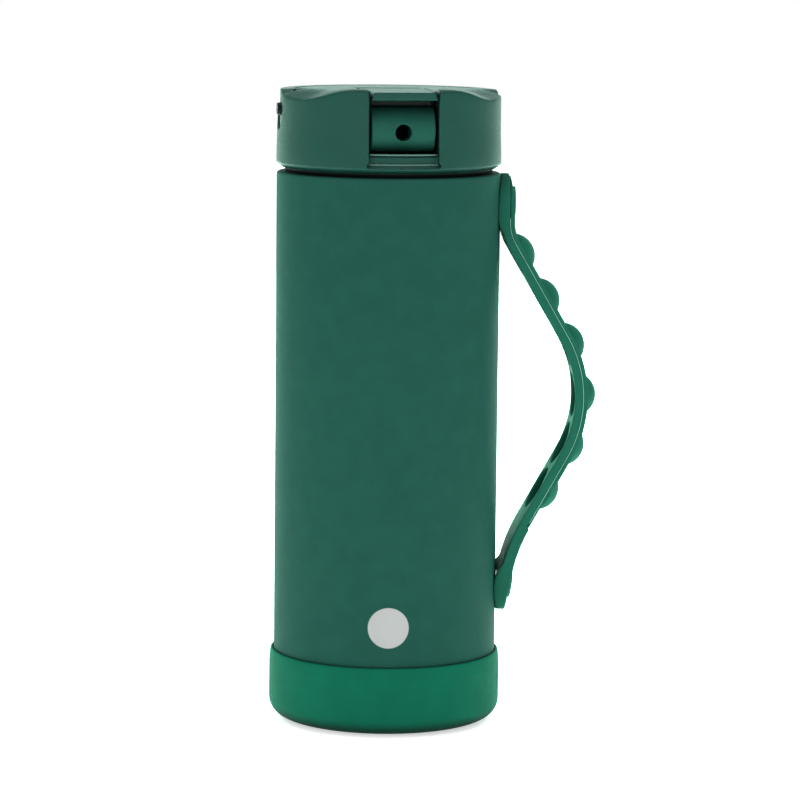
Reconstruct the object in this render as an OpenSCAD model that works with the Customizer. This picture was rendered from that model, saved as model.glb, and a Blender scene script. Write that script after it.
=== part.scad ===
// Vacuum flask with a screw lid, a flip-up sip spout, a folding carry loop,
// a silicone boot and a side handle with push-through pop bubbles.
// Millimetres. +Z is up, the flask's axis is Z, the handle is on +X and the
// origin is the middle of the flat face that the boot stands on.

/* [Flask body] */
// Radius of the steel body
body_r = 36; // [35.5:0.5:36.5]
// Height of the flat shoulder that the lid closes on
shoulder_z = 177.2; // [177.2]
// Thickness of each steel wall
steel = 0.6; // [0.5:0.1:0.8]
// Gap between the two steel walls
vacuum_gap = 2.7; // [2.4:0.1:2.8]
// Radius of the open mouth
mouth_r = 29.3; // [29.3]

/* [Boot] */
// Height of the silicone boot
boot_h = 22.2; // [18:0.5:26]
// Radius of the boot's straight band
boot_r = 37.5; // [37.3:0.1:38]

/* [Lid] */
// Height of the lid's top above the shoulder
lid_h = 26.8; // [26.8]
// Radius of the lid's wall
lid_r = 35.85; // [35.85]
// Angle between the flask's front and the spout when the lid is tight
lid_seat = 6; // [0:1:15]
// Rise of the lid for one turn
thread_pitch = 4; // [3.5:0.5:4]
// Radius of the drinking hole
sip_r = 2.6; // [2:0.1:3]

/* [Handle] */
// Width of the handle strap
strap_w = 18; // [17:0.5:20]
// Thickness of the strap's band
band_t = 2.7; // [2.5:0.1:3]
// Thickness of the bubble panel that covers the band
panel_t = 1.5; // [1.4:0.1:1.6]
// Number of pop bubbles
bubbles = 6; // [6]
// Distance between bubbles along the strap
bubble_gap = 16.6; // [16:0.1:17]
// Radius of a bubble where it meets the panel
bubble_r = 6; // [5.5:0.1:6.2]
// Height of a bubble above the panel
bubble_h = 3.1; // [2.6:0.1:3.4]

/* [Hidden] */
$fn = 96;
eps = 0.01;

// Steel vessel
liner_r = body_r - steel - vacuum_gap;      // outside of the inner wall
shell_z = 3;                                // underside of the steel in the boot
shell_corner = 4.5;
shoulder_corner = 0.9;
liner_z = 11;                               // underside of the inner vessel
neck_z = 162;                               // where the inner wall starts to close in
neck_top_z = 165;

// Screw thread in the mouth
thread_h = 1;                               // ridge height
thread_base = 1.7;                          // ridge width at its root
thread_crest = 0.9;
thread_z = 166.4;                           // start of the lid's own ridge
plug_r = mouth_r - thread_h - 0.3;          // the plug's wall clears the mouth's ridge

// Lid levels
gasket_t = 1;
lid_z = shoulder_z + gasket_t;              // underside of the lid
lid_top = shoulder_z + lid_h;
skirt_r = 36.1;                             // the lid is a touch wider at its foot
skirt_z = 180;                              // where the foot's bevel ends
skirt_in_r = 33.4;
plate_z = lid_top - 0.4;                    // flat top behind the spout
plate_r = 29.8;
wall = 2.2;
plug_bottom = 164;
flange_t = 2;
groove_z = plug_bottom + 0.6;               // groove for the o-ring
groove_h = 1.1;
hollow_z = 195.6;                           // top of the room inside the lid's wide part
riser_z = 181.2;                            // where the valve seat stands on the plug's riser
spigot = 7;                                 // length of the straw's spigot below the plug
vent = [0, -20, 0];                         // where the vent valve stands
passage_r = 2.6;                            // bore of the riser and the valve seat

// Spout channel, along Y through the lid's front
pivot = [-4, 191.4];                        // y and z of the spout's hinge line
hub_r = 7;
lever_w = 20.3;
channel_w = 21.9;
channel_z = 184;
sill_r = 34.3;                              // the sill's face below the channel
lip_z = [179.9, 181.5];                     // bevelled lip below the sill
lever_top = lid_top - pivot[1];             // height of the lever above its hinge
channel_back = pivot[0] + lever_top + 0.5;
lever_nose = -35;                           // tip of the thumb ledge
mouth_face = -33;                           // front of the mouthpiece
mouth_z = 192.2;
mouth_half = 7.1;                           // half the mouthpiece's height
pin_r = 1.5;
run = 0.05;                                 // running clearance round a pin

// Thumb scoops in the front of the lid's top
scoop_r = 120;
scoop_tilt = 20;
scoops = [[42, 1.4], [58, 2.5], [74, 2.6], [90, 2.1]];  // angle from the spout, and depth

// Carry loop
loop_z = 197.2;                             // height of its hinge line
loop_ear = 6.2;
loop_in = 30.7;
loop_out = 35;
loop_t = 5;
loop_pin_r = 1.25;

// Handle strap: a path of [length, turn in degrees], drawn from its top end
// down the flask's side, with the strap's inner face on the path
strap_start = [36.1, 177];
strap_path = [[15.4, 0], [8.4, 30], [34.6, 0], [38.3, -59.2], [25.5, 0], [29.4, 29.2], [1.7, 0]];
strap_len = [for (p = strap_path) 1] * [for (p = strap_path) p[0]];
stud_s = [9.1, strap_len - 9.1];            // screws, measured along the path
bubble_s = [for (i = [0:bubbles - 1]) 27.6 + i * bubble_gap];
panel_s = [0.8, bubble_s[bubbles - 1] + 12];
panel_ramp = 8;                             // the panel thins over this length at its top
recess_r = 7.3;                             // opening in the band behind a bubble
foot_t = 3.8;                               // the band is thicker below the panel
foot_tip_t = 3;
foot_pad_s = strap_len - 16;                // the lower rails start here
foot_s = panel_s[1] + 0.3;
pad_len = strap_path[0][0];
screw_r = 4.85;

// Turtle walk along the strap: place and heading at distance s
function leg_end(p, h, leg) =
    let (a = leg[1])
    a == 0 ? [p + leg[0] * [sin(h), -cos(h)], h]
    : let (r = leg[0] / (a * PI / 180))
      [p + r * [cos(h) - cos(h + a), -(sin(h + a) - sin(h))], h + a];
function walk(s, i = 0, p = strap_start, h = 0) =
    let (leg = strap_path[i])
    s <= leg[0] || i == len(strap_path) - 1
        ? leg_end(p, h, [s, leg[1] * s / leg[0]])
        : let (e = leg_end(p, h, leg)) walk(s - leg[0], i + 1, e[0], e[1]);
// Point at distance s, moved out of the inner face by t
function strap_point(s, t) =
    let (w = walk(s)) w[0] + t * [cos(w[1]), sin(w[1])];

// Helical ridge: a trapezium swept one turn, its root sunk into its wall.
// out = 1 points away from the axis and -1 points towards it.
module helix_ridge(root_r, z, out) {
    steps = 72;
    sink = 0.3;
    section = [
        [-sink * out, -thread_base / 2], [thread_h * out, -thread_crest / 2],
        [thread_h * out, thread_crest / 2], [-sink * out, thread_base / 2]
    ];
    ring = out > 0 ? section : [for (i = [3:-1:0]) section[i]];
    points = [
        for (k = [0:steps]) let (a = 360 * k / steps) for (q = ring)
            [(root_r + q[0]) * cos(a), (root_r + q[0]) * sin(a), z + q[1] + thread_pitch * k / steps]
    ];
    sides = [
        for (k = [0:steps - 1]) for (j = [0:3]) let (n = (j + 1) % 4)
            [4 * k + j, 4 * k + n, 4 * (k + 1) + n, 4 * (k + 1) + j]
    ];
    polyhedron(points, concat([[3, 2, 1, 0]], sides, [[for (j = [0:3]) 4 * steps + j]]));
}

// Ring between two radii and two heights
module tube(r_out, r_in, z0, z1) {
    translate([0, 0, z0]) difference() {
        cylinder(r = r_out, h = z1 - z0);
        translate([0, 0, -eps]) cylinder(r = r_in, h = z1 - z0 + 2 * eps);
    }
}

// Cylinder along X, centred on the plane x = 0, at a given y and z
module bar(r, w, at) {
    translate([0, at[0], at[1]]) rotate([0, 90, 0]) cylinder(r = r, h = w, center = true);
}

// Box from a lowest to a highest corner
module block(lo, hi) {
    translate(lo) cube(hi - lo);
}

// Everything on the lid is drawn with the spout on -Y and then turned
module on_lid() {
    rotate([0, 0, lid_seat]) children();
}

// ---- Steel vessel ----

// Half outline of a can with rounded bottom and top edges
module rounded_can(r, z0, z1, corner, top_corner) {
    translate([0, z0 + corner]) square([r, z1 - top_corner - z0 - corner]);
    translate([0, z0]) square([r - corner, corner + eps]);
    translate([r - corner, z0 + corner]) circle(r = corner);
    translate([0, z1 - top_corner - eps]) square([r - top_corner, top_corner + eps]);
    translate([r - top_corner, z1 - top_corner]) circle(r = top_corner);
}

module outer_shell() {
    color("#24594a") difference() {
        rotate_extrude() difference() {
            rounded_can(body_r, shell_z, shoulder_z, shell_corner, shoulder_corner);
            rounded_can(body_r - steel, shell_z - 1, shoulder_z - steel, shell_corner, shoulder_corner);
            translate([0, shoulder_z - 2]) square([mouth_r + steel, 3]);
            square([body_r - shell_corner - 1, shell_z + 3]);
        }
    }
}

module base_plate() {
    plate = body_r - shell_corner - 1;
    color("#b9b7b2") rotate_extrude() difference() {
        union() {
            translate([0, shell_z]) square([plate, steel]);
            translate([0, shell_z + steel]) square([plate - 6, 1.8]);
        }
        translate([0, shell_z - 1]) square([plate - 6 - steel, 2.2]);
        translate([0, shell_z - 1]) square([2.5, 8]);
    }
}

module vacuum_plug() {
    color("#8d8a84") translate([0, 0, shell_z + 1.2]) cylinder(r = 2.5, h = 1.6);
}

module getter() {
    color("#6e6b66") translate([14, 0, liner_z - 2.2]) cylinder(r = 4, h = 2.2);
}

module inner_liner() {
    color("#c9c7c2") union() {
        rotate_extrude() difference() {
            union() {
                rounded_can(liner_r, liner_z, neck_z, 7, 0.5);
                polygon([
                    [0, neck_z - 1], [liner_r, neck_z - 1], [mouth_r + steel, neck_top_z], [0, neck_top_z]
                ]);
                translate([0, neck_top_z - 1]) square([mouth_r + steel, shoulder_z - neck_top_z + 1]);
            }
            rounded_can(liner_r - steel, liner_z + steel, neck_z, 6.4, 0.5);
            polygon([
                [0, neck_z - 2], [liner_r - steel, neck_z - 2], [liner_r - steel, neck_z - 1],
                [mouth_r, neck_top_z], [mouth_r, shoulder_z + 1], [0, shoulder_z + 1]
            ]);
        }
        helix_ridge(mouth_r, thread_z + thread_pitch / 2, -1);
    }
}

module copper_wrap() {
    color("#b5673a") tube(liner_r + 0.3, liner_r, 22, 154);
}

// ---- Boot ----

module silicone_boot() {
    corner = 6;
    band = [9, 18];
    color("#176850") union() {
        rotate_extrude() difference() {
            union() {
                rounded_can(boot_r, 0, band[1], corner, 0.2);
                polygon([
                    [0, band[1] - 1], [boot_r, band[1] - 1], [boot_r, band[1]],
                    [boot_r - 0.35, boot_h - 0.4], [boot_r - 0.6, boot_h], [0, boot_h]
                ]);
            }
            rounded_can(body_r, shell_z, boot_h + 5, shell_corner, 0.5);
            // shallow groove under the boot
            translate([19, -1]) square([4, 1.8]);
        }
        // three raised grip bars on the side below the handle
        for (k = [-1:1]) rotate([0, 0, -12 + 1.4 * k])
            translate([boot_r - 0.6, -0.4, 10]) cube([0.75, 0.8, 5.5]);
    }
}

// ---- Handle ----

// Plate on the strap's path between s0 and s1: its outline in the XZ plane, from
// t0 out to t1, where t1 thins to tip_t over the first or last stretch
module strap_slab(s0, s1, t0, t1, w, tip_t = 0, ramp = 0) {
    steps = 60;
    s_at = [for (k = [0:steps]) s0 + (s1 - s0) * k / steps];
    t_at = [for (p = s_at) ramp == 0 ? t1
        : ramp > 0 ? t1 + min(0, (tip_t - t1) * (1 - (p - s0) / ramp))
        : t1 + min(0, (tip_t - t1) * (1 - (s1 - p) / -ramp))];
    inner = [for (p = s_at) strap_point(p, t0)];
    outer = [for (k = [steps:-1:0]) strap_point(s_at[k], t_at[k])];
    rotate([90, 0, 0]) linear_extrude(w, center = true) polygon(concat(inner, outer));
}

// Puts its children on the strap at s, with +Z out along the strap's normal
// and +X towards the strap's lower end
module on_strap(s) {
    w = walk(s);
    translate([w[0][0], 0, w[0][1]]) rotate([0, 90 - w[1], 0]) children();
}

// Room round the strap with its two ends cut round
module strap_outline(s0, s1, w) {
    strap_slab(s0 + w / 2, s1 - w / 2, -6, 12, 60);
    for (s = [s0 + w / 2, s1 - w / 2]) on_strap(s) cylinder(r = w / 2, h = 24, center = true);
}

module handle_strap() {
    color("#236e55") difference() {
        intersection() {
            union() {
                strap_slab(0, strap_len, 0, band_t, strap_w);
                strap_slab(foot_s, strap_len, band_t - 0.2, foot_t, strap_w, foot_tip_t, -9);
            }
            strap_outline(0, strap_len, strap_w);
        }
        for (s = stud_s) on_strap(s) {
            cylinder(r = 3.6, h = 12, center = true);
            translate([0, 0, band_t]) cylinder(r = screw_r + 0.2, h = 6);
        }
        for (s = bubble_s) on_strap(s) cylinder(r = recess_r, h = 12, center = true);
    }
}

// Rails that seat the strap's two ends on the round flask, each side of the studs
module strap_pads() {
    w = strap_w - 0.6;
    open_w = 9;
    gap = 0.03;
    steps = 12;
    inset = 5;
    root = body_r - 3;
    high = [strap_start[1] - inset, strap_start[1] - pad_len];
    foot_len = strap_len - inset - foot_pad_s;
    foot = [for (k = [0:steps]) strap_point(foot_pad_s + foot_len * k / steps, -gap)];
    color("#236e55") difference() {
        for (side = [0, 1]) mirror([0, side, 0]) translate([0, w / 2, 0]) rotate([90, 0, 0])
            linear_extrude((w - open_w) / 2) {
                translate([root, high[1]]) square([strap_start[0] - gap - root, high[0] - high[1]]);
                polygon(concat(foot, [[root, foot[steps][1]], [root, foot[0][1]]]));
            }
        translate([0, 0, 20]) cylinder(r = body_r + gap, h = 170, $fn = 360);
    }
}

module bubble_panel() {
    color("#236e55") difference() {
        intersection() {
            strap_slab(panel_s[0], panel_s[1], band_t, band_t + panel_t, strap_w, band_t + 0.4, panel_ramp);
            strap_outline(panel_s[0], strap_len, strap_w - 0.3);
        }
        for (s = bubble_s) on_strap(s) cylinder(r = bubble_r + 0.1, h = 24, center = true);
        on_strap(stud_s[0]) cylinder(r = screw_r + 0.2, h = 24, center = true);
    }
}

module bubble(i) {
    dome = (bubble_r * bubble_r + bubble_h * bubble_h) / (2 * bubble_h);
    skin = 1.2;
    top = band_t + panel_t;
    color("#236e55") on_strap(bubble_s[i]) difference() {
        union() {
            translate([0, 0, band_t + 0.1]) cylinder(r = bubble_r, h = panel_t - 0.1);
            intersection() {
                translate([0, 0, top + bubble_h - dome]) sphere(r = dome);
                translate([0, 0, top - eps]) cylinder(r = bubble_r, h = bubble_h + 1);
            }
        }
        intersection() {
            translate([0, 0, top + bubble_h - dome]) sphere(r = dome - skin);
            translate([0, 0, band_t]) cylinder(r = bubble_r - skin, h = bubble_h + panel_t + 1);
        }
    }
}

// Steel bosses welded to the shell, which the strap's end holes sit over
module strap_bosses() {
    color("#b9b7b2") difference() {
        for (s = stud_s) on_strap(s) difference() {
            translate([0, 0, -0.8]) cylinder(r = 3.4, h = 3);
            translate([0, 0, 0.2]) cylinder(r = 1.7, h = 6);
        }
        cylinder(r = body_r, h = 200, $fn = 360);
    }
}

// Low round screws with a notched rim and a hexagon socket
module strap_screws() {
    head_t = 2;
    notches = 16;
    color("#236e55") for (s = stud_s) on_strap(s) difference() {
        union() {
            translate([0, 0, band_t]) cylinder(r = screw_r, h = head_t);
            translate([0, 0, 0.3]) cylinder(r = 1.7, h = band_t);
        }
        for (k = [1:notches]) rotate([0, 0, 360 * k / notches])
            translate([screw_r + 0.15, 0, band_t + 0.5]) cylinder(r = 0.5, h = 3, $fn = 16);
        translate([0, 0, band_t + 0.8]) cylinder(r = 1.7, h = 3, $fn = 6);
    }
}

// ---- Lid ----

module lid_gasket() {
    color("#143c31") tube(33.3, mouth_r + 0.4, shoulder_z, lid_z);
}

// Second seal, in a groove near the plug's foot
module plug_o_ring() {
    cord_r = groove_h / 2;
    color("#1b2421") rotate_extrude() translate([plug_r - 0.35, groove_z + cord_r])
        circle(r = cord_r, $fn = 24);
}

// Outside of the lid before anything is cut away
module lid_blank() {
    rotate_extrude() polygon([
        [0, lid_z], [skirt_in_r, lid_z], [skirt_r, skirt_z], [skirt_r, skirt_z + 3.4],
        [lid_r, skirt_z + 4.6], [lid_r, lid_top - 0.5], [lid_r - 0.5, lid_top], [0, lid_top]
    ]);
}

// Each side's scoop is a row of wide cylinders that lean out and down over the rim
module thumb_scoops() {
    for (side = [-1, 1]) for (scoop = scoops) rotate([0, 0, -90 + side * scoop[0]])
        translate([lid_r, 0, lid_top - scoop[1]]) rotate([0, scoop_tilt, 0])
            translate([0, 0, scoop_r]) rotate([0, 90, 0])
                cylinder(r = scoop_r, h = 60, center = true, $fn = 360);
}

// Seat that the folded carry loop drops into, with room for its ears
module loop_seat() {
    clear = 0.4;
    difference() {
        block([-50, -loop_ear - clear, plate_z - loop_t - clear], [50, 50, lid_top + 5]);
        cylinder(r = plate_r, h = 300);
    }
    for (side = [-1, 1]) translate([side * (loop_in - 0.6), 0, loop_z]) rotate([0, side * 90, 0])
        cylinder(r = loop_ear + clear, h = 20);
}

module channel() {
    half = channel_w / 2;
    block([-half, -50, channel_z], [half, channel_back, lid_top + 5]);
    // room for the lever's heel when the spout stands up
    block([-half, 1.5, channel_z - 2.2], [half, channel_back, channel_z + 1]);
    // shallow sill in the lid's wall below the mouthpiece, which ends in a bevelled lip
    intersection() {
        union() {
            block([-half, -50, lip_z[1]], [half, 0, channel_z + 1]);
            block([-half - 0.7, -50, lip_z[0]], [half + 0.7, 0, lip_z[1] + 0.3]);
        }
        difference() {
            translate([0, 0, lid_z]) cylinder(r = 50, h = 10);
            cylinder(r = sill_r, h = 200);
            translate([0, 0, lip_z[0]]) cylinder(r1 = skirt_r, r2 = sill_r, h = lip_z[1] - lip_z[0]);
        }
    }
}

module lid_hollow() {
    side = channel_w / 2 + 1.9;
    difference() {
        union() {
            translate([0, 0, lid_z - 1]) cylinder(r = lid_r - wall, h = hollow_z - lid_z + 1);
            translate([0, 0, lid_z - 1]) cylinder(r = plate_r - wall, h = lid_top - 3.4 - lid_z + 1);
        }
        // channel walls and floor
        block([-side, -50, channel_z - 3.3], [side, channel_back + 1.9, lid_top]);
        // bosses for the loop's pins
        for (end = [-1, 1]) translate([end * 29, 0, loop_z]) rotate([0, 90, 0])
            cylinder(r = 3.2, h = 6, center = true);
    }
}

module lid_cover() {
    color("#2b5a4d") on_lid() difference() {
        lid_blank();
        thumb_scoops();
        // the flat behind the spout sits a little lower than its shoulders
        block([-50, 0, plate_z], [50, 50, lid_top + 1]);
        loop_seat();
        channel();
        lid_hollow();
        bar(loop_pin_r, 80, [0, loop_z]);
        bar(pin_r, channel_w + 8, pivot);
        // hole for the plug's riser and the valve seat
        translate([0, pivot[0], lid_z - 1]) cylinder(r = 5.6, h = 10);
        // hole for the vent valve
        translate(vent + [0, 0, lid_z - 1]) cylinder(r = 2.2, h = 10);
    }
}

module lid_plug() {
    top = lid_z + flange_t;
    color("#2b5a4d") on_lid() difference() {
        union() {
            difference() {
                union() {
                    translate([0, 0, lid_z]) cylinder(r = skirt_in_r - 0.4, h = flange_t);
                    translate([0, 0, plug_bottom]) cylinder(r = plug_r, h = top - plug_bottom);
                }
                translate([0, 0, plug_bottom + 2]) cylinder(r = plug_r - 2, h = top);
            }
            helix_ridge(plug_r, thread_z, 1);
            // riser that carries the valve seat, and the spigot for the straw
            translate([0, pivot[0], plug_bottom - spigot]) cylinder(r = 3.4, h = spigot + 1);
            translate([0, pivot[0], plug_bottom]) cylinder(r = 5.4, h = riser_z - plug_bottom);
            // post under the vent valve
            translate(vent + [0, 0, plug_bottom]) cylinder(r = 3.4, h = lid_z + 1 - plug_bottom);
        }
        translate([0, pivot[0], plug_bottom - spigot - 1]) cylinder(r = passage_r, h = 40);
        translate(vent + [0, 0, plug_bottom - 1]) cylinder(r = 1, h = 40);
        // groove for the o-ring
        tube(plug_r + 2, plug_r - 0.9, groove_z, groove_z + groove_h);
    }
}

module valve_seat() {
    color("#e7e7e2") on_lid() difference() {
        translate([0, pivot[0], riser_z]) cylinder(r = 5.3, h = 3.9);
        translate([0, pivot[0], riser_z - 1]) cylinder(r = passage_r, h = 10);
        bar(hub_r + 0.08, 30, pivot);
    }
}

module vent_valve() {
    base = lid_z + 1;
    color("#e7e7e2") on_lid() translate(vent + [0, 0, base]) difference() {
        union() {
            cylinder(r = 2.1, h = channel_z - base - 0.2);
            translate([0, 0, channel_z - base]) cylinder(r1 = 3.1, r2 = 2.4, h = 0.7);
            cylinder(r = 1.8, h = channel_z - base + 0.2);
        }
        translate([0, 0, -1]) cylinder(r = 0.7, h = channel_z - base + 0.6);
    }
}

module straw_sleeve() {
    color("#e7e7e2") on_lid() translate([0, pivot[0], plug_bottom - spigot]) difference() {
        cylinder(r = 4.6, h = 6.8);
        translate([0, 0, -eps]) cylinder(r = 3.4, h = 7);
    }
}

module straw() {
    foot = 16;
    color("#d9dedb") on_lid() translate([0, pivot[0], 0]) difference() {
        translate([0, 0, foot]) cylinder(r = 3.9, h = plug_bottom - spigot - foot);
        cylinder(r = 3.1, h = 200);
        // slanted foot, so that the straw can't seal itself on the floor
        translate([0, 0, foot]) rotate([0, 35, 0]) translate([-20, -10, -20]) cube([40, 20, 20]);
    }
}

module spout_pins() {
    reach = 3;
    from = lever_w / 2 - reach;
    to = channel_w / 2 + 1.8;
    color("#b9b7b2") on_lid() for (side = [-1, 1])
        translate([side * (from + to) / 2, pivot[0], pivot[1]]) rotate([0, 90, 0])
            cylinder(r = pin_r, h = to - from, center = true);
}

// The left pin has a black button head. The right one ends flush in the loop.
module loop_pins() {
    head = 2.1;
    inner = 26.5;
    color("#22262a") on_lid() for (side = [-1, 1]) rotate([0, 0, side > 0 ? 0 : 180]) {
        translate([inner, 0, loop_z]) rotate([0, 90, 0]) cylinder(r = loop_pin_r, h = loop_out - inner + 0.2);
        if (side < 0) translate([loop_out + 0.1, 0, loop_z]) rotate([0, 90, 0])
            cylinder(r1 = head, r2 = head - 0.3, h = 1.1);
    }
}

// ---- Spout ----

module flip_spout() {
    half = lever_w / 2;
    arm_z = 185.3;
    heel = lever_top * sin(45);
    color("#2b5a4d") on_lid() difference() {
        union() {
            bar(hub_r, lever_w, pivot);
            block([-half, -27, arm_z], [half, pivot[0], lid_top]);
            // heel: a quarter of a round about the hinge, cut off at 45 degrees
            intersection() {
                bar(lever_top, lever_w, pivot);
                block([-half, pivot[0] - 1, pivot[1]], [half, pivot[0] + heel, lid_top]);
                translate([0, pivot[0], pivot[1]]) rotate([45, 0, 0])
                    block([-half, 0, 0], [half, 20, 20]);
            }
            // thumb ledge over the mouthpiece
            block([-half, lever_nose, lid_top - 2.5], [half, -26, lid_top]);
            block([-half, -27.6, mouth_z + mouth_half - 3], [half, -26, lid_top - 1]);
        }
        // pocket for the mouthpiece
        bar(mouth_half + 0.1, lever_w + 2, [mouth_face + mouth_half, mouth_z]);
        block([-half - 1, -40, 180], [half + 1, -25.9, mouth_z + mouth_half + 0.1]);
        // drink passage and the bore of the mouthpiece's tail
        translate([0, 10, pivot[1]]) rotate([90, 0, 0]) cylinder(r = sip_r, h = 60);
        translate([0, -19.9, pivot[1]]) rotate([90, 0, 0]) cylinder(r = 4, h = 20);
        // blind bores for the hinge pins
        for (side = [-1, 1]) translate([side * (half - 1.4), pivot[0], pivot[1]]) rotate([0, 90, 0])
            cylinder(r = pin_r + run, h = 3.6, center = true);
    }
}

module spout_mouthpiece() {
    half = lever_w / 2 - 0.1;
    color("#2f6b58") on_lid() difference() {
        union() {
            intersection() {
                bar(mouth_half, 2 * half, [mouth_face + mouth_half, mouth_z]);
                block([-half, -40, 180], [half, -26, 210]);
            }
            translate([0, -20, pivot[1]]) rotate([90, 0, 0]) cylinder(r = 4, h = 8);
        }
        translate([0, -10, pivot[1]]) rotate([90, 0, 0]) cylinder(r = sip_r, h = 40);
    }
}

// ---- Carry loop ----

module carry_loop() {
    z0 = plate_z - loop_t;
    color("#2b5a4d") on_lid() difference() {
        union() {
            intersection() {
                tube(loop_out, loop_in, z0, plate_z);
                block([-50, 0, z0 - 1], [50, 50, plate_z + 1]);
            }
            intersection() {
                bar(loop_ear, 80, [0, loop_z]);
                tube(loop_out, loop_in, 180, 215);
                for (side = [0, 1]) mirror([side, 0, 0]) block([31.2, -10, 180], [50, 10, 215]);
            }
        }
        bar(loop_pin_r + run, 90, [0, loop_z]);
    }
}

outer_shell();
base_plate();
inner_liner();
copper_wrap();
getter();
vacuum_plug();
silicone_boot();
strap_bosses();
handle_strap();
bubble_panel();
strap_pads();
strap_screws();
bubble(0);  // bubble_1
bubble(1);  // bubble_2
bubble(2);  // bubble_3
bubble(3);  // bubble_4
bubble(4);  // bubble_5
bubble(5);  // bubble_6
plug_o_ring();
lid_gasket();
lid_cover();
lid_plug();
valve_seat();
vent_valve();
straw_sleeve();
straw();
spout_pins();
loop_pins();
flip_spout();
spout_mouthpiece();
carry_loop();
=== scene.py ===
import math

import bmesh
import bpy
from mathutils import Matrix, Vector


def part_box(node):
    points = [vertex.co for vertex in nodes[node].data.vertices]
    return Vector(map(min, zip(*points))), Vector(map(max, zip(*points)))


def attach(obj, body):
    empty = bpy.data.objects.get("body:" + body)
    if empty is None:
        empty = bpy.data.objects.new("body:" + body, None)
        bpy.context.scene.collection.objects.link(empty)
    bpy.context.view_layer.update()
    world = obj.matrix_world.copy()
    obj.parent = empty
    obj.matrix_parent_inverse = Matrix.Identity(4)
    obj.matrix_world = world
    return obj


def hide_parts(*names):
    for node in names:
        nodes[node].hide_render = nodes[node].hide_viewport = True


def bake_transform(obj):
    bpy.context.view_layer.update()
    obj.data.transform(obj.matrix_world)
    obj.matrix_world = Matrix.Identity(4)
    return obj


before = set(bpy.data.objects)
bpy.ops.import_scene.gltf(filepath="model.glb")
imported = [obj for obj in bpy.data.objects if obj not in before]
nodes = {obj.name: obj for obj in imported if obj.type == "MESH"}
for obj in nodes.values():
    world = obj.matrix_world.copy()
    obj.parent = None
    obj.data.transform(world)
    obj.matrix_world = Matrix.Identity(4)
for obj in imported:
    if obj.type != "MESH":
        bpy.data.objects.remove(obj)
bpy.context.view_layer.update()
scene = bpy.context.scene

MM = 0.001
LID_TURN = math.radians(6)                     # the tight lid stands turned by this much


# ---- Camera ----

def make_camera():
    """A long lens a little above the lid, rolled slightly as the flask leans in its picture."""
    azimuth, elevation, roll = math.radians(-2.3), math.radians(7.45), math.radians(0.6)
    distance, lens = 1.160, 161.2
    across = Vector((math.cos(azimuth), math.sin(azimuth), 0))
    aim = across * 0.0044 + Vector((0, 0, 0.1032))
    back = Vector((
        math.sin(azimuth) * math.cos(elevation), -math.cos(azimuth) * math.cos(elevation), math.sin(elevation)
    ))
    data = bpy.data.cameras.new("camera")
    data.lens = lens
    data.sensor_width = 36
    data.clip_start, data.clip_end = 0.05, 50
    camera = bpy.data.objects.new("camera", data)
    scene.collection.objects.link(camera)
    camera.location = aim + back * distance
    turn = back.to_track_quat("Z", "Y").to_matrix().to_4x4() @ Matrix.Rotation(roll, 4, "Z")
    camera.rotation_mode = "QUATERNION"
    camera.rotation_quaternion = turn.to_quaternion()
    scene.camera = camera


# ---- Materials ----

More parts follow.
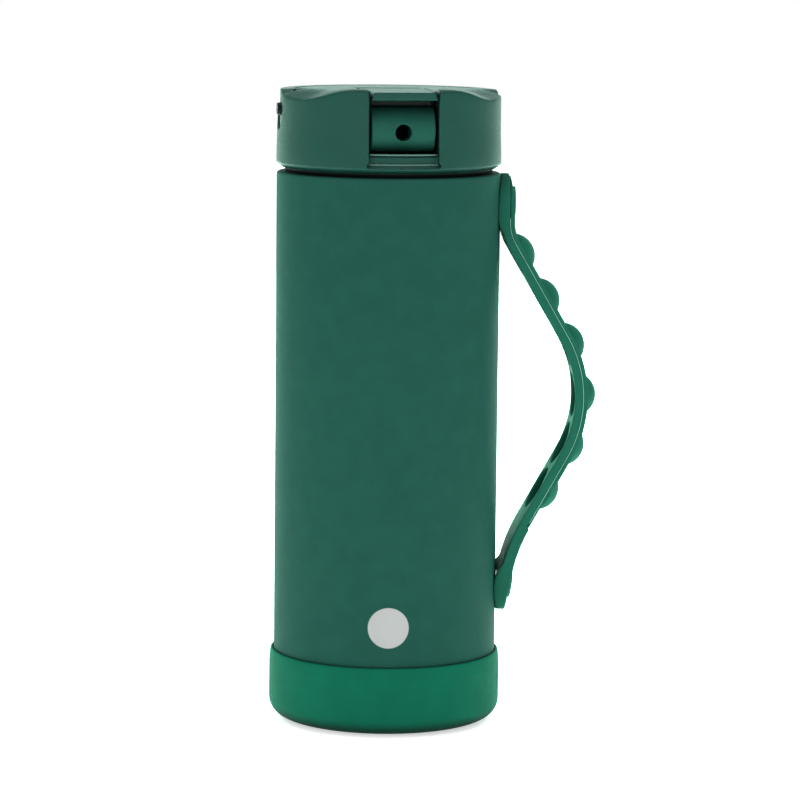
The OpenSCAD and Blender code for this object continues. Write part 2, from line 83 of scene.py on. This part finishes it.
class Shader:
    """A Principled material with small helpers for its node tree."""

    def __init__(self, name, colour, roughness, **sockets):
        self.material = bpy.data.materials.new(name)
        self.material.use_nodes = True
        self.tree = self.material.node_tree
        self.principled = self.tree.nodes["Principled BSDF"]
        self.principled.inputs["Base Color"].default_value = (*colour, 1)
        self.principled.inputs["Roughness"].default_value = roughness
        for socket, value in sockets.items():
            self.principled.inputs[socket.replace("_", " ")].default_value = value
        self.place = self.node("ShaderNodeTexCoord").outputs["Object"]
        self.normal = None

    def node(self, kind, **values):
        made = self.tree.nodes.new(kind)
        for key, value in values.items():
            setattr(made, key, value)
        return made

    def link(self, source, target):
        self.tree.links.new(source, target)

    def noise(self, scale, detail=3, roughness=0.55, stretch=(1, 1, 1)):
        """Noise with this many cells per metre along each axis of stretch."""
        mapping = self.node("ShaderNodeMapping")
        mapping.inputs["Scale"].default_value = stretch
        self.link(self.place, mapping.inputs["Vector"])
        noise = self.node("ShaderNodeTexNoise")
        noise.inputs["Scale"].default_value = scale
        noise.inputs["Detail"].default_value = detail
        noise.inputs["Roughness"].default_value = roughness
        self.link(mapping.outputs["Vector"], noise.inputs["Vector"])
        return noise.outputs["Fac"]

    def ramp(self, source, low, high, out_low, out_high):
        span = self.node("ShaderNodeMapRange", clamp=True)
        sockets = ("From Min", "From Max", "To Min", "To Max")
        for socket, value in zip(sockets, (low, high, out_low, out_high)):
            span.inputs[socket].default_value = value
        self.link(source, span.inputs["Value"])
        return span.outputs["Result"]

    def colours(self, source, low, high):
        """Base colour that runs from low to high as source goes from 0.3 to 0.7."""
        mix = self.node("ShaderNodeMix", data_type="RGBA")
        mix.inputs["A"].default_value = (*low, 1)
        mix.inputs["B"].default_value = (*high, 1)
        self.link(self.ramp(source, 0.3, 0.7, 0, 1), mix.inputs["Factor"])
        self.link(mix.outputs["Result"], self.principled.inputs["Base Color"])
        return mix.outputs["Result"]

    def paint_crevice_shade(self, colour, reach, dark):
        """Paints shade into a colour where other surfaces close round it: darker in creases, slots and gaps
        between parts.
        """
        open_sky = self.node("ShaderNodeAmbientOcclusion", samples=8)
        open_sky.inputs["Distance"].default_value = reach
        mix = self.node("ShaderNodeMix", data_type="RGBA", blend_type="MULTIPLY")
        mix.inputs["Factor"].default_value = 1
        shades = self.node("ShaderNodeCombineColor")
        for channel in ("Red", "Green", "Blue"):
            self.link(self.ramp(open_sky.outputs["AO"], 0.3, 0.9, dark, 1), shades.inputs[channel])
        self.link(colour, mix.inputs["A"])
        self.link(shades.outputs["Color"], mix.inputs["B"])
        self.link(mix.outputs["Result"], self.principled.inputs["Base Color"])

    def rough(self, source, low, high):
        self.link(self.ramp(source, 0.3, 0.7, low, high), self.principled.inputs["Roughness"])

    def bump(self, source, height, strength=1.0):
        """Adds bump of this height in metres on top of any bump before it."""
        bump = self.node("ShaderNodeBump")
        bump.inputs["Strength"].default_value = strength
        bump.inputs["Distance"].default_value = height
        self.link(source, bump.inputs["Height"])
        if self.normal:
            self.link(self.normal, bump.inputs["Normal"])
        self.normal = bump.outputs["Normal"]
        self.link(self.normal, self.principled.inputs["Normal"])


def shade(colour, factor):
    return tuple(channel * factor for channel in colour)


def powder_coat(name, colour):
    """Fine matt powder coat: grain, a slight orange peel and a faint change of tone."""
    made = Shader(name, colour, 0.66, Specular_IOR_Level=0.07, Diffuse_Roughness=0.4)
    toned = made.colours(made.noise(150, 4), shade(colour, 0.94), shade(colour, 1.06))
    # painted shade in creases and gaps
    made.paint_crevice_shade(toned, 0.004, 0.6)
    made.rough(made.noise(1800, 2), 0.6, 0.72)
    made.bump(made.noise(520, 2), 0.00004, 0.5)
    made.bump(made.noise(3000, 2), 0.00004, 0.7)
    return made


def moulded_plastic(name, colour, roughness=0.4, reach=0.006):
    """Fine spark-eroded texture, as a mould leaves on matt plastic."""
    made = Shader(name, colour, roughness, Specular_IOR_Level=0.17)
    toned = made.colours(made.noise(120, 3), shade(colour, 0.95), shade(colour, 1.05))
    # painted shade in creases and gaps
    made.paint_crevice_shade(toned, reach, 0.2)
    made.rough(made.noise(900, 2), roughness - 0.05, roughness + 0.06)
    made.bump(made.noise(4200, 2), 0.00002, 0.5)
    return made


def silicone(name, colour, roughness=0.62, dark=0.25):
    """Soft matt silicone."""
    made = Shader(
        name, colour, roughness, Specular_IOR_Level=0.05,
        Diffuse_Roughness=0.3,
    )
    toned = made.colours(made.noise(110, 4), shade(colour, 0.94), shade(colour, 1.06))
    # painted shade in creases and gaps
    made.paint_crevice_shade(toned, 0.007, dark)
    made.rough(made.noise(600, 3), roughness - 0.06, roughness + 0.07)
    made.bump(made.noise(1500, 3), 0.00002, 0.5)
    return made


def brushed(name, colour, roughness=0.3, stretch=(1, 1, 60)):
    """Metal with fine scratches that run across the stretched axis."""
    made = Shader(name, colour, roughness, Metallic=1.0)
    scratches = made.noise(60, 5, 0.7, stretch)
    made.colours(scratches, shade(colour, 0.85), shade(colour, 1.05))
    made.rough(scratches, roughness - 0.08, roughness + 0.12)
    made.bump(scratches, 0.00001, 0.4)
    return made


def clear_plastic(name, colour):
    made = Shader(name, colour, 0.3, Transmission_Weight=0.12, IOR=1.45)
    made.colours(made.noise(60, 3), shade(colour, 0.97), shade(colour, 1.03))
    made.rough(made.noise(300, 3), 0.28, 0.36)
    return made


def marked_powder_coat(name, colour, mark_z, mark_r):
    """Powder coat with one plain round disc on the front, etched down to brushed steel."""
    made = powder_coat(name, colour)
    coat = made.principled
    steel = made.node("ShaderNodeBsdfPrincipled")
    steel.inputs["Base Color"].default_value = (0.36, 0.325, 0.335, 1)
    steel.inputs["Metallic"].default_value = 1
    scratches = made.noise(90, 4, 0.7, (70, 70, 1))
    made.link(made.ramp(scratches, 0.3, 0.7, 0.34, 0.5), steel.inputs["Roughness"])
    split = made.node("ShaderNodeSeparateXYZ")
    made.link(made.place, split.inputs[0])
    flat = made.node("ShaderNodeCombineXYZ")
    made.link(split.outputs["X"], flat.inputs["X"])
    made.link(split.outputs["Z"], flat.inputs["Z"])
    away = made.node("ShaderNodeVectorMath", operation="DISTANCE")
    away.inputs[1].default_value = (0, 0, mark_z)
    made.link(flat.outputs["Vector"], away.inputs[0])
    inside = made.ramp(away.outputs["Value"], mark_r - 0.00008, mark_r + 0.00008, 1, 0)
    front = made.ramp(split.outputs["Y"], -0.02, -0.019, 1, 0)
    both = made.node("ShaderNodeMath", operation="MULTIPLY")
    made.link(inside, both.inputs[0])
    made.link(front, both.inputs[1])
    mix = made.node("ShaderNodeMixShader")
    made.link(both.outputs["Value"], mix.inputs["Fac"])
    made.link(coat.outputs["BSDF"], mix.inputs[1])
    made.link(steel.outputs["BSDF"], mix.inputs[2])
    made.link(mix.outputs["Shader"], made.tree.nodes["Material Output"].inputs["Surface"])
    return made


BODY_GREEN = (0.013, 0.077, 0.060)
LID_GREEN = (0.008, 0.057, 0.044)
# painted highlight: a light green for the beads on the notch's sill and lip
HIGHLIGHT_EDGE_GREEN = (0.10, 0.20, 0.17)
BOOT_GREEN = (0.003, 0.122, 0.072)
STRAP_GREEN = (0.014, 0.120, 0.081)
MOUTH_GREEN = (0.015, 0.088, 0.066)

LOOKS = {
    "shell": marked_powder_coat("shell", BODY_GREEN, 0.035, 0.0065),
    "boot": silicone("boot", BOOT_GREEN),
    "strap": silicone("strap", STRAP_GREEN),
    "bubble": silicone("bubble", shade(STRAP_GREEN, 1.05), 0.58),
    "seal": silicone("seal", (0.003, 0.012, 0.009), 0.7),
    "lid": moulded_plastic("lid", LID_GREEN),
    # the last figure is how far the painted crevice shade reaches, wide here so it darkens the finger slot
    "spout": moulded_plastic("spout", LID_GREEN, 0.42, 0.014),
    "mouthpiece": silicone("mouthpiece", MOUTH_GREEN, 0.5, 0.6),
    # painted highlight: the light green of the beads along the sill's and the lip's top edges
    "edge": moulded_plastic("edge", HIGHLIGHT_EDGE_GREEN, 0.3),
    # painted highlight: a pale green for the thin beads along the strap's parting line, standing in for the
    # light its edge catches
    "seam_highlight": silicone("seam_highlight", (0.30, 0.62, 0.50), 0.4),
    # the strap's green brightened 1.5 times: a painted highlight on the screw heads
    "screw": moulded_plastic("screw", shade(STRAP_GREEN, 1.5), 0.35, 0.001),
    "white": moulded_plastic("white", (0.72, 0.73, 0.70), 0.35),
    "straw": clear_plastic("straw", (0.50, 0.62, 0.57)),
    "steel": brushed("steel", (0.60, 0.59, 0.57)),
    "black": brushed("black", (0.012, 0.013, 0.015), 0.4),
    "copper": brushed("copper", (0.78, 0.36, 0.20), 0.35),
}


def dress(obj, look):
    obj.data.materials.clear()
    obj.data.materials.append(LOOKS[look].material)


# ---- Meshes ----

def baked(obj):
    """obj with its modifiers applied to its own mesh."""
    bpy.context.view_layer.update()
    graph = bpy.context.evaluated_depsgraph_get()
    mesh = bpy.data.meshes.new_from_object(obj.evaluated_get(graph))
    obj.modifiers.clear()
    obj.data = mesh
    return obj


def link_mesh(name, mesh):
    obj = bpy.data.objects.new(name, mesh)
    scene.collection.objects.link(obj)
    return obj


def joined(name, sources):
    """One new object whose mesh is a copy of several CAD nodes' meshes."""
    build = bmesh.new()
    for node in sources:
        build.from_mesh(nodes[node].data)
    bmesh.ops.remove_doubles(build, verts=build.verts, dist=0.000001)
    mesh = bpy.data.meshes.new(name)
    build.to_mesh(mesh)
    build.free()
    return link_mesh(name, mesh)


def soften(obj, voxel, rounds):
    """Rebuilds a mesh on a fine grid and smooths it, which rounds its edges."""
    remesh = obj.modifiers.new("remesh", "REMESH")
    remesh.mode = "VOXEL"
    remesh.voxel_size = voxel * MM
    smooth = obj.modifiers.new("smooth", "SMOOTH")
    smooth.factor = 0.5
    smooth.iterations = rounds
    baked(obj)
    obj.data.shade_smooth()


def moulded(name, sources, body, look, voxel=0.3, rounds=6):
    """Stands for CAD nodes, with their edges softened as a moulded piece has them."""
    obj = joined(name, sources)
    soften(obj, voxel, rounds)
    dress(obj, look)
    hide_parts(*sources)
    if body:
        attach(obj, body)
    return obj


def lathe(name, profile, body, look, node=None, segments=192):
    """Turns an outline of (radius, height) points in millimetres about the flask's axis."""
    mesh = bpy.data.meshes.new(name)
    build = bmesh.new()
    rings = []
    for radius, height in profile:
        ring = []
        for k in range(segments):
            a = 2 * math.pi * k / segments
            ring.append(build.verts.new((radius * MM * math.cos(a), radius * MM * math.sin(a), height * MM)))
        rings.append(ring)
    for low, high in zip(rings, rings[1:] + rings[:1]):
        for k in range(segments):
            n = (k + 1) % segments
            build.faces.new((low[k], low[n], high[n], high[k]))
    bmesh.ops.recalc_face_normals(build, faces=build.faces)
    build.to_mesh(mesh)
    build.free()
    mesh.shade_smooth()
    mesh.set_sharp_from_angle(angle=math.radians(35))
    obj = link_mesh(name, mesh)
    dress(obj, look)
    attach(obj, body)
    if node:
        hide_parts(node)
    return obj


def arc(centre, radius, start, end, steps=8):
    """Points on an arc, in degrees from the outward direction towards +Z."""
    points = []
    for k in range(steps + 1):
        a = math.radians(start + (end - start) * k / steps)
        points.append((centre[0] + radius * math.cos(a), centre[1] + radius * math.sin(a)))
    return points


# ---- Flask body ----

def make_shell():
    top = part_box("outer_shell")[1].z / MM
    outline = [(29.9, top - 0.6), (29.9, top)]
    outline += arc((36 - 0.8, top - 0.8), 0.8, 90, 0, 6)
    outline += arc((36 - 4.5, 7.5), 4.5, 0, -90, 6)
    outline += [(30.5, 3), (30.5, 3.6), (31.5, 3.6)]
    outline += arc((36 - 5, 8), 4.4, -90, 0, 6)
    outline += [(35.4, top - 0.6)]
    shell = lathe("shell", outline, "flask", "shell", "outer_shell", 256)
    return shell


def keep(node, look):
    """Shows a CAD node as it is, with its own material."""
    dress(nodes[node], look)


def make_vessel():
    make_shell()
    for node in ("base_plate", "inner_liner", "getter", "vacuum_plug", "strap_bosses", "spout_pins"):
        keep(node, "steel")
    keep("copper_wrap", "copper")
    moulded("boot", ("silicone_boot",), "flask", "boot", 0.4)
    keep("lid_gasket", "seal")
    keep("plug_o_ring", "seal")
    keep("loop_pins", "black")
    keep("strap_screws", "screw")
    keep("lid_plug", "lid")
    keep("valve_seat", "seal")
    keep("vent_valve", "seal")
    keep("straw_sleeve", "white")
    keep("straw", "straw")


# ---- Handle ----

# The strap's inner face in millimetres: its start, then each stretch's length and turn
BODY_R = 36.03                     # a hair outside the shell
STRAP_START = (36.1, 177)
STRAP_PATH = ((15.4, 0), (8.4, 30), (34.6, 0), (38.3, -59.2), (25.5, 0), (29.4, 29.2), (1.7, 0))
BAND_T = 2.7
PANEL_TOP = 4.2
BUBBLE_FIRST, BUBBLE_GAP = 27.6, 16.6
BUBBLE_H = 3.1


def strap_frame(s):
    """Place, outward normal in the XZ plane, at distance s down the strap's inner face."""
    x, z, heading = *STRAP_START, 0.0
    for length, turn in STRAP_PATH:
        run = min(s, length)
        bend = math.radians(turn) * run / length
        if turn:
            radius = length / math.radians(turn)
            x += radius * (math.cos(heading) - math.cos(heading + bend))
            z -= radius * (math.sin(heading + bend) - math.sin(heading))
        else:
            x += run * math.sin(heading)
            z -= run * math.cos(heading)
        heading += bend
        s -= run
        if s <= 0:
            break
    return Vector((x, 0, z)), Vector((math.cos(heading), 0, math.sin(heading)))


def strap_point(s, t, y=0.0):
    place, normal = strap_frame(s)
    return (place + normal * t + Vector((0, y, 0))) * MM


def bead(name, points, radius, look, body):
    """A thin tube through points, with closed ends."""
    curve = bpy.data.curves.new(name, "CURVE")
    curve.dimensions = "3D"
    curve.bevel_depth = radius * MM
    curve.bevel_resolution = 2
    curve.use_fill_caps = True
    spline = curve.splines.new("POLY")
    spline.points.add(len(points) - 1)
    for knot, point in zip(spline.points, points):
        knot.co = (*point, 1)
    guide = bpy.data.objects.new(name + "_guide", curve)
    scene.collection.objects.link(guide)
    bpy.context.view_layer.update()
    graph = bpy.context.evaluated_depsgraph_get()
    mesh = bpy.data.meshes.new_from_object(guide.evaluated_get(graph))
    bpy.data.objects.remove(guide)
    bpy.data.curves.remove(curve)
    mesh.shade_smooth()
    obj = link_mesh(name, mesh)
    dress(obj, look)
    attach(obj, body)
    return obj


def saddle(strap):
    """Draws the strap's ends onto the round flask, and slopes the top of its foot."""
    for vertex in strap.data.vertices:
        place = vertex.co / MM
        wall = math.sqrt(BODY_R ** 2 - place.y ** 2)
        gap = place.x - wall
        depth = place.x - STRAP_START[0]
        if place.z < 60:
            near = 1 - min(max(gap, 0) / 2.8, 1)
            vertex.co.z -= 7 * near * min(max((place.z - 41) / 13, 0), 1) * MM
        if place.z > 100:
            reach, fade, hold = 1.3, 0.7, eased((place.z - 157) / 5)
        else:
            reach, fade, hold = 1.9, 1.1, 1 - eased((place.z - 44) / 12)
        pull = hold * (1 - eased((depth - reach + 0.8) / 1.3)) * (1 - eased((gap - reach) / fade))
        if gap > 0 and pull > 0:
            vertex.co.x = (place.x - gap * pull) * MM


def feather(panel):
    """Thins the panel's lower end, so that it runs out on the strap."""
    end = BUBBLE_FIRST + 5 * BUBBLE_GAP + 12
    for vertex in panel.data.vertices:
        place = vertex.co / MM
        if place.z > 74:
            continue
        s = end
        for k in range(24):
            s = end - 0.3 * k
            spot, normal = strap_frame(s)
            along = Vector((-normal.z, 0, normal.x))
            if (place - spot).dot(along) >= 0:
                break
        height = (place - spot).dot(normal) - BAND_T
        lean = 1 - eased((end - s) / 1.8)
        if height > 0:
            vertex.co -= normal * height * 0.5 * lean * MM


def make_handle():
    strap = moulded("strap", ("handle_strap", "strap_pads"), "flask", "strap", 0.3, 3)
    saddle(strap)
    soften(strap, 0.28, 3)
    panel = moulded("panel", ("bubble_panel",), "flask", "strap", 0.22, 4)
    feather(panel)
    # thin pale beads along the parting line on both sides: a painted highlight
    for side, y in (("near", -8.97), ("far", 8.97)):
        line = [strap_point(14 + 0.9 * k, BAND_T, y) for k in range(120)]
        bead(f"seam_{side}", line, 0.09, "seam_highlight", "flask")
    for i in range(6):
        bubble = moulded(f"bubble{i + 1}", (f"bubble_{i + 1}",), None, "bubble", 0.2, 5)
        s = BUBBLE_FIRST + BUBBLE_GAP * i
        strap_point(s, PANEL_TOP - 0.6)
        strap_point(s, PANEL_TOP + BUBBLE_H - 0.3)
        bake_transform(bubble)


# ---- Lid ----

def eased(t):
    t = min(max(t, 0), 1)
    return t * t * (3 - 2 * t)


LID_R = 35.85
NOTCH_HALF = 10.95                 # half the width of the spout's notch


def scoop_height(angle, radius, top):
    """Height of the lid's swooping front edge, in degrees from the spout and millimetres.

    Each side starts at a raised shoulder beside the spout and dips to its lowest at 58 degrees."""
    slope, corner, raised = math.tan(math.radians(20)), 0.8, 0.9
    fall = eased((angle - 22) / 36)
    depth = 3.9 * fall - raised - 1.5 * eased((angle - 58) / 34)
    low = top - depth + (LID_R - radius) * slope
    high = top + raised * (1 - fall) * eased((radius - 22) / 10)
    blend = 1.2
    near = max(blend - abs(low - high), 0) / blend
    over = max(0, min(corner, radius - (LID_R - corner)))
    return min(low, high) - near * near * blend / 4 - corner + math.sqrt(corner * corner - over * over)


def swoop(lid):
    """Runs the scoops and the flared foot, short steps in the CAD, as smooth surfaces."""
    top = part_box("lid_cover")[1].z / MM
    turn = Matrix.Rotation(-LID_TURN, 3, "Z")
    upward = [vertex.normal.z for vertex in lid.data.vertices]
    for vertex, up in zip(lid.data.vertices, upward):
        place = turn @ vertex.co / MM
        reach = math.hypot(place.x, place.y)
        if reach > 35.7 and place.z > 180.2:
            flare = (LID_R + 0.25 * (1 - eased((place.z - 181) / 12))) / reach
            vertex.co.x *= flare
            vertex.co.y *= flare
        if place.z < top - 7 or place.y > -6.2 or abs(place.x) < 11:
            continue
        weight = eased((up - 0.15) / 0.5)
        angle = math.degrees(math.atan2(abs(place.x), -place.y))
        lift = scoop_height(angle, min(reach, LID_R), top) - place.z
        if abs(lift) < 1.6:
            vertex.co.z += weight * lift * MM


def ease_notch(lid):
    """Rounds the notch's upright edges and its top corners more than the rest."""
    turn = Matrix.Rotation(-LID_TURN, 3, "Z")
    group = lid.vertex_groups.new(name="notch")
    edge = {}
    for vertex in lid.data.vertices:
        place = turn @ vertex.co / MM
        if place.y > -27 or place.z < 184.6:
            continue
        away = math.hypot(abs(place.x) - NOTCH_HALF, min(0, -34.3 - place.y))
        weight = round(1 - eased((away - 1.2) / 1.6), 1)
        if weight > 0:
            edge.setdefault(weight, []).append(vertex.index)
    for weight, picked in edge.items():
        group.add(picked, weight, "REPLACE")
    smooth = lid.modifiers.new("notch", "SMOOTH")
    smooth.factor = 0.5
    smooth.iterations = 14
    smooth.vertex_group = "notch"
    baked(lid)
    lid.vertex_groups.clear()


def shape_ledge(spout):
    """Slants the ends of the thumb ledge and deepens the finger slot below it."""
    turn = Matrix.Rotation(-LID_TURN, 3, "Z")
    back = Matrix.Rotation(LID_TURN, 3, "Z")
    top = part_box("flip_spout")[1].z / MM
    ledge_h, slot_half, slot_deeper = 2.6, 10, 1.5
    for vertex in spout.data.vertices:
        place = turn @ vertex.co / MM
        if place.y < -25.5 and place.z > top - ledge_h:
            rise = (place.z - top + ledge_h) / ledge_h
            place.x *= 1.035 - 0.09 * rise
            vertex.co = back @ place * MM
        elif -28.5 < place.y < -26.6 and 199.2 < place.z < top - 2.5 and abs(place.x) < slot_half:
            place.y += slot_deeper * eased((slot_half - abs(place.x)) / 0.5)
            vertex.co = back @ place * MM


def highlight_bead(name, radius, height, reach):
    """Thin bead across the notch below the spout, reaching as far to each side, in a light green that paints
    the highlight along the edge.
    """
    half = math.degrees(math.asin(reach / radius))
    steps = 24
    line = []
    for k in range(steps + 1):
        a = math.radians(-half + 2 * half * k / steps) + LID_TURN
        line.append(Vector((radius * math.sin(a), -radius * math.cos(a), height)) * MM)
    bead(name, line, 0.3, "edge", "lid")


def make_lid():
    lid = moulded("lid", ("lid_cover",), "lid", "lid", 0.3, 2)
    swoop(lid)
    soften(lid, 0.28, 2)
    ease_notch(lid)
    lid.data.shade_smooth()
    # beads in a light green that paint the highlights on the sill's and the lip's top edges
    for name, radius, height, reach in (("sill", 34.2, 184.5, 10.6), ("lip", 34.5, 181.4, 11.3)):
        highlight_bead(name, radius, height, reach)
    spout = moulded("spout", ("flip_spout",), "spout", "spout", 0.25, 4)
    shape_ledge(spout)
    soften(spout, 0.25, 2)
    moulded("mouthpiece", ("spout_mouthpiece",), "spout", "mouthpiece", 0.22)
    moulded("loop", ("carry_loop",), "loop", "lid")


# ---- Studio ----

def soft_light(name, place, aim, size, watts, tint=(1, 1, 1), gloss=True):
    data = bpy.data.lights.new(name, "AREA")
    data.shape = "RECTANGLE"
    data.size, data.size_y = size
    data.energy = watts
    data.color = tint
    light = bpy.data.objects.new(name, data)
    light.visible_camera = False
    light.visible_glossy = gloss
    scene.collection.objects.link(light)
    light.location = place
    light.rotation_mode = "QUATERNION"
    light.rotation_quaternion = (Vector(aim) - Vector(place)).to_track_quat("-Z", "Y")


def make_studio():
    """A white sweep that looks white but lights softly, with tall lights behind for the rims."""
    scene.view_settings.view_transform = "Standard"
    world = bpy.data.worlds.new("studio")
    world.use_nodes = True
    tree = world.node_tree
    background = tree.nodes["Background"]
    background.inputs["Color"].default_value = (1, 1, 1, 1)
    seen = tree.nodes.new("ShaderNodeLightPath")
    level = tree.nodes.new("ShaderNodeMapRange")
    level.inputs["To Min"].default_value = 0.36
    level.inputs["To Max"].default_value = 1
    tree.links.new(seen.outputs["Is Camera Ray"], level.inputs["Value"])
    tree.links.new(level.outputs["Result"], background.inputs["Strength"])
    scene.world = world
    reach = 2.8
    floor_mesh = bpy.data.meshes.new("floor")
    corners = [(-reach, -reach, 0), (reach, -reach, 0), (reach, reach, 0), (-reach, reach, 0)]
    floor_mesh.from_pydata(corners, [], [(0, 1, 2, 3)])
    floor = link_mesh("floor", floor_mesh)
    floor.location.z = -0.0002
    pale = Shader("floor", (0.9, 0.9, 0.9), 0.9, Emission_Color=(1, 1, 1, 1), Emission_Strength=0.55)
    pale.colours(pale.noise(4), (0.89, 0.89, 0.89), (0.91, 0.91, 0.91))
    floor.data.materials.append(pale.material)
    middle = (0, 0, 0.1)
    soft_light("key", (-0.7, -1.3, 0.8), middle, (0.9, 1.0), 3.5)
    soft_light("front", (0.5, -1.4, 0.6), middle, (0.5, 1.0), 2.5)
    soft_light("top", (0, 0.1, 1.6), middle, (1.6, 1.6), 18)
    soft_light("back", (0, 3, 0.6), middle, (4, 1), 24, (0.8, 1, 0.93))
    soft_light("rim_left", (-0.6, 1.25, 0.35), middle, (0.6, 1.2), 75, (0.5, 1, 0.8), False)
    soft_light("rim_right", (0.6, 1.25, 0.35), middle, (0.6, 1.2), 75, (0.5, 1, 0.8), False)


make_camera()
make_vessel()
make_handle()
make_lid()
make_studio()
